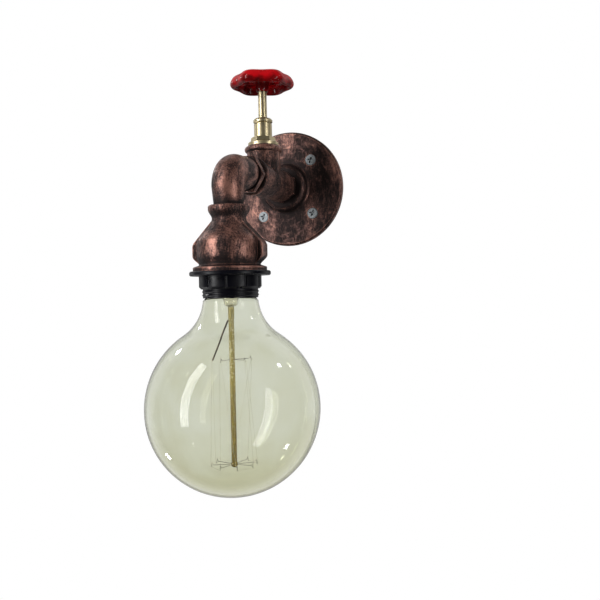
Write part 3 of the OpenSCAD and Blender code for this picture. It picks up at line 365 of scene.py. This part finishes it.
def amber_glass():
    """Blown soda-lime glass with a pale amber lustre: clear, tinted more where it is seen edge on. The lustre
    lies unevenly, the glass is darker and yellower towards the bottom, and it has slow waves from the
    blowing."""
    finish = bpy.context.scene.lamp_finish
    made, tree, body = new_material("pale amber glass", {
        "Transmission Weight": 1.0, "Roughness": 0.0, "IOR": 1.5, "Specular Tint": (0.2, 0.2, 0.2, 1.0)},
        {"Color": (0.42, 0.42, 0.25, 1.0), "Density": 110.0})
    coordinates = add_node(tree, "ShaderNodeTexCoord")
    place = coordinates.outputs["Object"]
    spread = coordinates.outputs["Generated"]
    height = add_node(tree, "ShaderNodeSeparateXYZ", {"Vector": spread}).outputs["Z"]
    darker_below = add_node(tree, "ShaderNodeMapRange", {
        "Value": height, "From Min": 0.4, "From Max": 0.05, "To Min": 0.0, "To Max": 0.8})
    cloud = add_node(tree, "ShaderNodeTexNoise", {"Vector": place, "Scale": per_metre(38), "Detail": 2.0})
    uneven = add_node(tree, "ShaderNodeMapRange", {
        "Value": cloud.outputs["Fac"], "From Min": 0.35, "From Max": 0.65, "To Min": 0.0, "To Max": 0.45})
    lustre = add_node(tree, "ShaderNodeMath", {0: darker_below.outputs["Result"], 1: uneven.outputs["Result"]},
                      use_clamp=True)
    colour = mixed_colour(tree, lustre.outputs["Value"], finish.glass, finish.lustre)
    tree.links.new(colour, body.inputs["Base Color"])
    waves = add_node(tree, "ShaderNodeTexNoise", {"Vector": place, "Scale": per_metre(45), "Detail": 1.0})
    bump = add_node(tree, "ShaderNodeBump", {
        "Height": waves.outputs["Fac"], "Strength": 0.05, "Distance": 1.5 * MM})
    tree.links.new(bump.outputs["Normal"], body.inputs["Normal"])
    return made


def rod_glass():
    """Drawn golden glass of the rod: pale with small lighter spots at its top, darker and clearer below."""
    made, tree, body = new_material("golden drawn glass", {
        "Transmission Weight": 0.35, "Roughness": 0.15, "IOR": 1.5})
    place = add_node(tree, "ShaderNodeTexCoord").outputs["Object"]
    height = add_node(tree, "ShaderNodeSeparateXYZ", {"Vector": place}).outputs["Z"]
    palest = -125 * MM
    darkest = -185 * MM
    depth = add_node(tree, "ShaderNodeMapRange", {"Value": height, "From Min": palest, "From Max": darkest})
    tone = add_node(tree, "ShaderNodeValToRGB", {"Fac": depth.outputs["Result"]}, stops=[
        (0.1, linear("#b9a86c")), (0.9, linear("#8f7a3a"))])
    cells = add_node(tree, "ShaderNodeTexVoronoi", {"Vector": place, "Scale": per_metre(2.4)})
    lighter_spot = add_node(tree, "ShaderNodeMapRange", {
        "Value": cells.outputs["Distance"], "From Min": 0.42, "From Max": 0.25, "To Max": 0.8})
    higher = add_node(tree, "ShaderNodeMapRange", {
        "Value": depth.outputs["Result"], "From Min": 0.7, "From Max": 0.2, "To Min": 0.15, "To Max": 1.0})
    shown = add_node(tree, "ShaderNodeMath", {0: lighter_spot.outputs["Result"], 1: higher.outputs["Result"]},
                     operation="MULTIPLY")
    colour = mixed_colour(tree, shown.outputs["Value"], tone.outputs["Color"], linear("#e6dcb4"))
    tree.links.new(colour, body.inputs["Base Color"])
    return made


def stem_glass():
    """Lead glass of the stem: a clear tube with a slow wave that breaks up what is seen through it, and below
    it the solid press, golden like the rod."""
    made, tree, body = new_material("clear lead glass", {"Roughness": 0.02, "IOR": 1.5})
    place = add_node(tree, "ShaderNodeTexCoord").outputs["Object"]
    press_height = 9.5 * MM
    blend = 1.0 * MM
    press_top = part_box("glass_stem")[0].z + press_height
    height = add_node(tree, "ShaderNodeSeparateXYZ", {"Vector": place}).outputs["Z"]
    pressed = add_node(tree, "ShaderNodeMapRange", {
        "Value": height, "From Min": press_top + blend, "From Max": press_top - blend})
    colour = mixed_colour(tree, pressed.outputs["Result"], linear("#f2f0e6"), linear("#c2b27a"))
    clear = add_node(tree, "ShaderNodeMapRange", {
        "Value": pressed.outputs["Result"], "To Min": 1.0, "To Max": 0.4})
    tree.links.new(colour, body.inputs["Base Color"])
    tree.links.new(clear.outputs["Result"], body.inputs["Transmission Weight"])
    waves = add_node(tree, "ShaderNodeTexNoise", {"Vector": place, "Scale": per_metre(3), "Detail": 2.0})
    bump = add_node(tree, "ShaderNodeBump", {
        "Height": waves.outputs["Fac"], "Strength": 0.3, "Distance": 0.2 * MM})
    tree.links.new(bump.outputs["Normal"], body.inputs["Normal"])
    return made


def drawn_wire(name, hex_dark, hex_light, metallic):
    """Fine drawn wire: a dull metal with lighter and darker stretches along it."""
    made, tree, body = new_material(name, {"Metallic": metallic, "Roughness": 0.45})
    place = add_node(tree, "ShaderNodeTexCoord").outputs["Object"]
    stretch = add_node(tree, "ShaderNodeTexNoise", {"Vector": place, "Scale": per_metre(4), "Detail": 2.0})
    colour = add_node(tree, "ShaderNodeValToRGB", {"Fac": stretch.outputs["Fac"]}, stops=[
        (0.35, linear(hex_dark)), (0.65, linear(hex_light))])
    tree.links.new(colour.outputs["Color"], body.inputs["Base Color"])
    return made


def soft_solid(name, hex_dark, hex_light, grain_mm, roughness):
    """Dull fibre, rubber or wire insulation: two close tones in grains of a given size."""
    made, tree, body = new_material(name, {"Roughness": roughness})
    place = add_node(tree, "ShaderNodeTexCoord").outputs["Object"]
    grain = add_node(tree, "ShaderNodeTexNoise", {
        "Vector": place, "Scale": per_metre(grain_mm), "Detail": 3.0})
    colour = add_node(tree, "ShaderNodeValToRGB", {"Fac": grain.outputs["Fac"]}, stops=[
        (0.35, linear(hex_dark)), (0.65, linear(hex_light))])
    bump = add_node(tree, "ShaderNodeBump", {
        "Height": grain.outputs["Fac"], "Strength": 0.2, "Distance": 0.1 * MM})
    tree.links.new(colour.outputs["Color"], body.inputs["Base Color"])
    tree.links.new(bump.outputs["Normal"], body.inputs["Normal"])
    return made


def named_material(name, make):
    """The material of that name, made the first time that it is asked for."""
    return bpy.data.materials.get(name) or make()


def new_piece(name, mesh, material, body):
    """Puts a mesh into the scene as a piece that moves with a body of the lamp."""
    piece = bpy.data.objects.new(name, mesh)
    bpy.context.scene.collection.objects.link(piece)
    mesh.materials.append(material)
    for face in mesh.polygons:
        face.use_smooth = True
    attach(piece, body)
    return piece


class LAMP_OT_pipe_fittings(bpy.types.Operator):
    """Patina on the flange, nipples, tee, elbow and reducing socket"""

    bl_idname = "lamp.pipe_fittings"
    bl_label = "Pipe fittings"

    def execute(self, context):
        finish_nodes(["wall_flange"], plate_patina_painted_darker())
        iron = named_material("rubbed patina on malleable iron", arm_patina)
        finish_nodes(["wall_nipple", "tee", "arm_nipple", "street_elbow", "reducing_socket"], iron)
        return {"FINISHED"}


class LAMP_OT_bare_thread(bpy.types.Operator):
    """Pipe thread on the arm nipple, between the tee and the hexagon"""

    bl_idname = "lamp.bare_thread"
    bl_label = "Bare thread"

    def execute(self, context):
        sizes = context.scene.lamp_thread
        tee_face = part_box("tee")[0].y
        start = tee_face - sizes.first
        end = tee_face - sizes.last
        turns = (start - end - sizes.pitch) / sizes.pitch
        steps = 48
        fade = 16
        sunk = 0.02 * MM
        ridge_share = 0.96
        # place across the ridge, in pitches, and height, in depths
        ridge = ((-0.5, -0.2), (-0.1, 1.0), (0.1, 1.0), (0.5, -0.2))
        count = int(turns * steps)
        shape = bmesh.new()
        rings = []
        for i in range(count + 1):
            turn = 2 * math.pi * i / steps
            along = start - 0.5 * sizes.pitch - sizes.pitch * i / steps
            # the ridge fades out at both ends
            rise = sizes.depth * min(1, i / fade, (count - i) / fade)
            ring = []
            for side, height in ridge:
                r = sizes.bar + rise * height - sunk
                ring.append(shape.verts.new((
                    r * math.cos(turn), along + side * sizes.pitch * ridge_share, r * math.sin(turn))))
            rings.append(ring)
        for near, far in zip(rings, rings[1:]):
            for j in range(len(ridge)):
                k = (j + 1) % len(ridge)
                shape.faces.new((near[j], near[k], far[k], far[j]))
        shape.faces.new(rings[0][::-1])
        shape.faces.new(rings[-1])
        bmesh.ops.recalc_face_normals(shape, faces=shape.faces)
        mesh = bpy.data.meshes.new("bare_thread")
        shape.to_mesh(mesh)
        shape.free()
        iron = named_material("rubbed patina on malleable iron", arm_patina)
        new_piece("bare_thread", mesh, iron, "fittings")
        return {"FINISHED"}


class LAMP_OT_wall_screws(bpy.types.Operator):
    """Zinc plate on screws, terminals, nut, washer, ferrules and the bulb's contact"""

    bl_idname = "lamp.wall_screws"
    bl_label = "Screws and nuts"

    def execute(self, context):
        zinc = named_material("zinc plate", zinc_plate)
        finish_nodes(["wall_screws", "terminal_screws", "wheel_nut", "wheel_washer"], zinc)
        finish_nodes(["bulb_tip", "wire_ferrules"], zinc)
        return {"FINISHED"}


class LAMP_OT_tap_head(bpy.types.Operator):
    """Polished brass tap head with its gasket, packing and valve"""

    bl_idname = "lamp.tap_head"
    bl_label = "Tap head"

    def execute(self, context):
        brass = named_material("polished brass", polished_brass)
        finish_nodes(["bonnet", "gland_nut", "spindle", "valve_jumper", "disc_screw"], brass)
        fibre = soft_solid("vulcanised fibre", "#241210", "#3a1c17", 0.8, 0.7)
        finish_nodes(["bonnet_gasket", "gland_packing"], fibre)
        finish_nodes(["valve_disc"], soft_solid("nitrile rubber", "#101010", "#1c1c1c", 1.2, 0.6))
        return {"FINISHED"}


class LAMP_OT_handwheel(bpy.types.Operator):
    """Cast handwheel with lobes, spokes and a dished middle"""

    bl_idname = "lamp.handwheel"
    bl_label = "Handwheel"

    def execute(self, context):
        sizes = context.scene.lamp_wheel
        low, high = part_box("handwheel")
        centre = (low + high) / 2
        # radius and height above the hub's foot in mm, going round, and 1 where the radius counts back from
        # the lobe's reach
        hub = [(2.9, 0.0, 0), (4.4, 0.0, 0), (5.2, 0.7, 0), (5.5, 7.6, 0)]
        under = [(6.7, 8.0, 0), (11.5, 8.5, 0), (16.2, 9.0, 0)]
        rim = [(-6.4, 9.0, 1), (-5.2, 7.8, 1), (-4.6, 5.0, 1), (-3.6, 2.6, 1), (-1.7, 2.7, 1), (0.0, 4.8, 1),
               (0.1, 7.0, 1), (-1.1, 9.8, 1), (-3.2, 12.4, 1), (-5.4, 12.8, 1), (-7.0, 12.1, 1)]
        over = [(15.8, 11.8, 0), (12.0, 11.3, 0), (6.8, 11.0, 0)]
        top = [(5.8, 11.1, 0), (4.8, 11.0, 0), (2.9, 11.0, 0)]
        section = hub + under + rim + over + top
        window_in = under[0][0]
        window_out = under[-1][0]
        cut_from = len(hub)
        cut_to = cut_from + len(under) - 1
        over_from = cut_from + len(under) + len(rim)
        over_to = over_from + len(over) - 1
        reach = sizes.across / 2 / MM
        half_spoke = sizes.spoke / 2 / MM
        # columns across one lobe: three on the spoke, three across the window
        columns = [(-1, 0), (0, 0), (1, 0), (1, 1 / 3), (1, 2 / 3)]
        step = 2 * math.pi / sizes.lobes
        shape = bmesh.new()
        grid = []
        for lobe in range(sizes.lobes):
            for edge, share in columns:
                line = []
                for radius, height, is_rim in section:
                    at = min(max(window_out if is_rim else radius, window_in), window_out)
                    spoke_angle = math.asin(half_spoke / at)
                    swing = edge * spoke_angle + share * (step - 2 * spoke_angle)
                    turn = lobe * step + swing
                    dip = sizes.hollow / MM * (1 - math.cos(sizes.lobes * swing)) / 2
                    r = reach - dip + radius if is_rim else radius
                    line.append(shape.verts.new((
                        centre.x + r * MM * math.cos(turn + sizes.turn),
                        centre.y + r * MM * math.sin(turn + sizes.turn),
                        low.z + height * MM)))
                grid.append(line)
        rows = len(section)
        for i, line in enumerate(grid):
            after = grid[(i + 1) % len(grid)]
            in_window = i % len(columns) >= 2
            for j in range(rows):
                k = (j + 1) % rows
                cut_under = cut_from <= j < cut_to
                cut_over = over_from <= j < over_to
                if in_window and (cut_under or cut_over):
                    continue
                shape.faces.new((line[j], line[k], after[k], after[j]))
        # walls of the windows, from the underside's edge up to the top's
        for lobe in range(sizes.lobes):
            first = lobe * len(columns) + 2
            ring = [grid[(first + c) % len(grid)] for c in range(4)]
            edge_under = [ring[0][j] for j in range(cut_from, cut_to)]
            edge_over = [ring[0][j] for j in range(over_to, over_from, -1)]
            edge_under += [line[cut_to] for line in ring[:-1]]
            edge_over += [line[over_from] for line in ring[:-1]]
            edge_under += [ring[3][j] for j in range(cut_to, cut_from, -1)]
            edge_over += [ring[3][j] for j in range(over_from, over_to)]
            edge_under += [line[cut_from] for line in ring[:0:-1]]
            edge_over += [line[over_to] for line in ring[:0:-1]]
            for a in range(len(edge_under)):
                b = (a + 1) % len(edge_under)
                shape.faces.new((edge_under[a], edge_under[b], edge_over[b], edge_over[a]))
        bmesh.ops.recalc_face_normals(shape, faces=shape.faces)
        mesh = bpy.data.meshes.new("cast_handwheel")
        shape.to_mesh(mesh)
        shape.free()
        enamel = named_material("red stove enamel", stove_enamel)
        wheel = new_piece("cast_handwheel", mesh, enamel, "tap_spindle")
        rounding = wheel.modifiers.new("rounding", "SUBSURF")
        rounding.levels = 2
        rounding.render_levels = 2
        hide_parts("handwheel")
        return {"FINISHED"}


class LAMP_OT_lampholder(bpy.types.Operator):
    """Moulded lampholder with its brass contacts, and the bulb's cap"""

    bl_idname = "lamp.lampholder"
    bl_label = "Lampholder"

    def execute(self, context):
        black = named_material("black phenolic moulding", phenolic_moulding)
        finish_nodes(["lampholder_skirt", "lampholder_hood", "shade_ring"], black)
        finish_nodes(["contact_base", "bulb_insulator"], black)
        brass = named_material("polished brass", polished_brass)
        finish_nodes(["screw_shell", "centre_contact", "side_contact", "bulb_cap"], brass)
        return {"FINISHED"}


class LAMP_OT_bulb(bpy.types.Operator):
    """Globe of amber glass with its rod, hooks and filament"""

    bl_idname = "lamp.bulb"
    bl_label = "Bulb"

    def execute(self, context):
        finish_nodes(["bulb_glass"], amber_glass())
        finish_nodes(["glass_stem"], stem_glass())
        finish_nodes(["glass_rod"], rod_glass())
        steel = drawn_wire("nickel steel wire", "#33241d", "#574539", 0.5)
        finish_nodes(["lead_wires", "upper_hooks", "lower_hooks"], steel)
        finish_nodes(["filament"], drawn_wire("carbon filament", "#a9a491", "#c9c4b2", 0.1))
        return {"FINISHED"}


class LAMP_OT_wiring(bpy.types.Operator):
    """Insulated wires inside the fittings"""

    bl_idname = "lamp.wiring"
    bl_label = "Wiring"

    def execute(self, context):
        finish_nodes(["live_wire"], soft_solid("brown insulation", "#4a2a16", "#5a341c", 3, 0.45))
        finish_nodes(["neutral_wire"], soft_solid("blue insulation", "#1d3f86", "#254c9c", 3, 0.45))
        return {"FINISHED"}


def aimed(place, target, roll=0.0):
    """Matrix that puts a light or camera at a place, looking at a target."""
    way = (target - place).normalized()
    turn = way.to_track_quat("-Z", "Y").to_matrix().to_4x4()
    return Matrix.Translation(place) @ turn @ Matrix.Rotation(roll, 4, "Z")


class LAMP_OT_studio(bpy.types.Operator):
    """White studio with a floor, banks of tubes, small lamps and the camera"""

    bl_idname = "lamp.studio"
    bl_label = "Studio"

    def execute(self, context):
        scene = context.scene
        studio = scene.lamp_studio
        scene.view_settings.view_transform = "Standard"
        self.make_world(scene, studio)
        self.make_floor(scene, studio)
        self.make_lights(scene, studio)
        self.make_camera(scene, studio)
        return {"FINISHED"}

    def make_world(self, scene, studio):
        """White behind the lamp. Shiny pieces see the white backdrop too, a dim room in front, and dark cards
        round the middle of the backdrop, which draw the edge of the glass."""
        world = bpy.data.worlds.new("white studio")
        world.use_nodes = True
        tree = world.node_tree
        tree.nodes.clear()
        path = add_node(tree, "ShaderNodeLightPath").outputs
        way = add_node(tree, "ShaderNodeTexCoord").outputs["Generated"]
        to_backdrop = (-0.347, 0.938, 0.0)
        back = add_node(tree, "ShaderNodeVectorMath", {0: way, 1: to_backdrop}, operation="DOT_PRODUCT")
        room = add_node(tree, "ShaderNodeValToRGB", {"Fac": back.outputs["Value"]}, stops=[
            (0.0, grey(0.06)), (0.25, grey(0.1)), (0.5, grey(1.0)), (0.7, grey(1.0)),
            (0.78, grey(0.3)), (0.98, grey(0.2)), (0.998, grey(1.0))])
        # a ray through clear glass counts as glossy too, and it sees the backdrop
        mirrored = add_node(tree, "ShaderNodeMath", {
            0: path["Is Glossy Ray"], 1: path["Is Transmission Ray"]}, operation="SUBTRACT", use_clamp=True)
        colour = mixed_colour(tree, mirrored.outputs["Value"], grey(1.0), room.outputs["Color"])
        seen = add_node(tree, "ShaderNodeMath", {0: path["Is Camera Ray"], 1: path["Is Glossy Ray"]},
                        operation="MAXIMUM")
        shown = add_node(tree, "ShaderNodeMath", {0: seen.outputs["Value"], 1: path["Is Transmission Ray"]},
                         operation="MAXIMUM")
        height = add_node(tree, "ShaderNodeSeparateXYZ", {"Vector": way}).outputs["Z"]
        even = add_node(tree, "ShaderNodeMapRange", {
            "Value": height, "From Min": -0.6, "From Max": 0.6,
            "To Min": studio.ground, "To Max": studio.ambient})
        strength = add_node(tree, "ShaderNodeMapRange", {
            "Value": shown.outputs["Value"], "To Min": even.outputs["Result"]})
        light = add_node(tree, "ShaderNodeBackground", {
            "Color": colour, "Strength": strength.outputs["Result"]})
        add_node(tree, "ShaderNodeOutputWorld", {"Surface": light.outputs["Background"]})
        scene.world = world

    def make_floor(self, scene, studio):
        """Pale floor well below the lamp, white to the eye and darker only in the lamp's shadow."""
        shape = bmesh.new()
        bmesh.ops.create_circle(shape, cap_ends=True, segments=64, radius=studio.floor_radius)
        mesh = bpy.data.meshes.new("floor")
        shape.to_mesh(mesh)
        shape.free()
        floor = bpy.data.objects.new("floor", mesh)
        floor.location = (0, 0, studio.floor_height)
        scene.collection.objects.link(floor)
        made, tree, body = new_material("pale painted floor", {
            "Base Color": linear("#b4b4b2"), "Roughness": 0.9, "Emission Color": (1, 1, 1, 1)})
        path = add_node(tree, "ShaderNodeLightPath").outputs
        lift_to_white = 0.75
        lift = add_node(tree, "ShaderNodeMath", {0: path["Is Camera Ray"], 1: lift_to_white},
                        operation="MULTIPLY")
        tree.links.new(lift.outputs["Value"], body.inputs["Emission Strength"])
        mesh.materials.append(made)
        # glass and metal show the white backdrop and the room, not the floor's edge
        floor.visible_glossy = False
        floor.visible_transmission = False

    def make_lights(self, scene, studio):
        """Two tall banks of tubes beside the camera, four small lamps round the globe and a soft light
        overhead."""
        middle = Vector((0, -0.1, -0.08))
        globe = Vector((0, -0.122, -0.17))
        power = studio.light_power
        tube_spacing = 1.25
        # name, target, azimuth, elevation, slant, distance, tubes, width, height, power, seen in shiny pieces
        lights = [
            ("left_bank", middle, -36, 18, 0, 1.2, 4, 0.055, 1.7, power * 1.5, True),
            ("right_bank", middle, 66, -10, -14, 1.2, 4, 0.045, 1.6, power * 0.6, True),
            ("lamp_high_left", globe, -106, 35, 0, 0.9, 1, 0.07, 0.07, power * 0.04, True),
            ("lamp_low_left", globe, -93, -35, 0, 0.9, 1, 0.07, 0.07, power * 0.04, True),
            ("lamp_high_right", globe, 114, 41, 0, 0.9, 1, 0.07, 0.07, power * 0.04, True),
            ("lamp_low_right", globe, 109, -37, 0, 0.9, 1, 0.07, 0.07, power * 0.04, True),
            ("overhead", middle, 10, 72, 0, 1.6, 1, 1.2, 1.2, power * 0.25, False),
        ]
        for name, target, azimuth, elevation, slant, distance, tubes, width, height, watts, shiny in lights:
            a = math.radians(azimuth)
            e = math.radians(elevation)
            away = Vector((math.sin(a) * math.cos(e), -math.cos(a) * math.cos(e), math.sin(e)))
            facing = aimed(target + away * distance, target, math.radians(slant))
            for i in range(tubes):
                lamp = bpy.data.lights.new(f"{name}_{i}", "AREA")
                lamp.shape = "RECTANGLE"
                lamp.size = width
                lamp.size_y = height
                lamp.energy = watts / tubes
                holder = bpy.data.objects.new(f"{name}_{i}", lamp)
                aside = (i - (tubes - 1) / 2) * width * tube_spacing
                holder.matrix_world = facing @ Matrix.Translation((aside, 0, 0))
                holder.visible_camera = False
                holder.visible_glossy = shiny
                scene.collection.objects.link(holder)

    def make_camera(self, scene, studio):
        """Camera at the photograph's place, a little to the right of the lamp."""
        place = (0.226682, -0.592565, -0.09029)
        yaw, pitch, roll = (math.radians(v) for v in (20.29, -0.533, 1.237))
        ahead = Vector((-math.sin(yaw) * math.cos(pitch), math.cos(yaw) * math.cos(pitch), math.sin(pitch)))
        right = ahead.cross(Vector((0, 0, 1))).normalized()
        up = right.cross(ahead)
        across = math.cos(roll) * right - math.sin(roll) * up
        upward = math.sin(roll) * right + math.cos(roll) * up
        lens = bpy.data.cameras.new("camera")
        lens.sensor_width = 36
        lens.lens = studio.focal_length
        lens.clip_start = 0.01
        camera = bpy.data.objects.new("camera", lens)
        turn = Matrix((across, upward, -ahead)).transposed().to_4x4()
        camera.matrix_world = Matrix.Translation(place) @ turn
        scene.collection.objects.link(camera)
        scene.camera = camera


class LAMP_PT_panel(bpy.types.Panel):
    """Lists the lamp's sizes, colours and steps"""

    bl_idname = "LAMP_PT_panel"
    bl_label = "Wall lamp"
    bl_space_type = "VIEW_3D"
    bl_region_type = "UI"
    bl_category = "Wall lamp"

    def draw(self, context):
        layout = self.layout
        for step in STEPS:
            layout.operator(step.bl_idname)
        for name in GROUPS:
            group = getattr(context.scene, name)
            box = layout.box()
            for field in group.__annotations__:
                box.prop(group, field)


GROUPS = {
    "lamp_finish": FinishColours,
    "lamp_wheel": WheelSizes,
    "lamp_thread": ThreadSizes,
    "lamp_studio": StudioSettings,
}

STEPS = [
    LAMP_OT_pipe_fittings,
    LAMP_OT_bare_thread,
    LAMP_OT_wall_screws,
    LAMP_OT_tap_head,
    LAMP_OT_handwheel,
    LAMP_OT_lampholder,
    LAMP_OT_bulb,
    LAMP_OT_wiring,
    LAMP_OT_studio,
]


def register():
    """Adds the lamp's settings, steps and panel to Blender."""
    for name, group in GROUPS.items():
        bpy.utils.register_class(group)
        setattr(bpy.types.Scene, name, bpy.props.PointerProperty(type=group))
    for step in STEPS:
        bpy.utils.register_class(step)
    bpy.utils.register_class(LAMP_PT_panel)


def unregister():
    """Takes them out again."""
    bpy.utils.unregister_class(LAMP_PT_panel)
    for step in reversed(STEPS):
        bpy.utils.unregister_class(step)
    for name, group in GROUPS.items():
        delattr(bpy.types.Scene, name)
        bpy.utils.unregister_class(group)


def main():
    """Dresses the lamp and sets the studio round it."""
    register()
    bpy.ops.lamp.pipe_fittings()
    bpy.ops.lamp.bare_thread()
    bpy.ops.lamp.wall_screws()
    bpy.ops.lamp.tap_head()
    bpy.ops.lamp.handwheel()
    bpy.ops.lamp.lampholder()
    bpy.ops.lamp.bulb()
    bpy.ops.lamp.wiring()
    bpy.ops.lamp.studio()


if __name__ == "__main__":
    main()
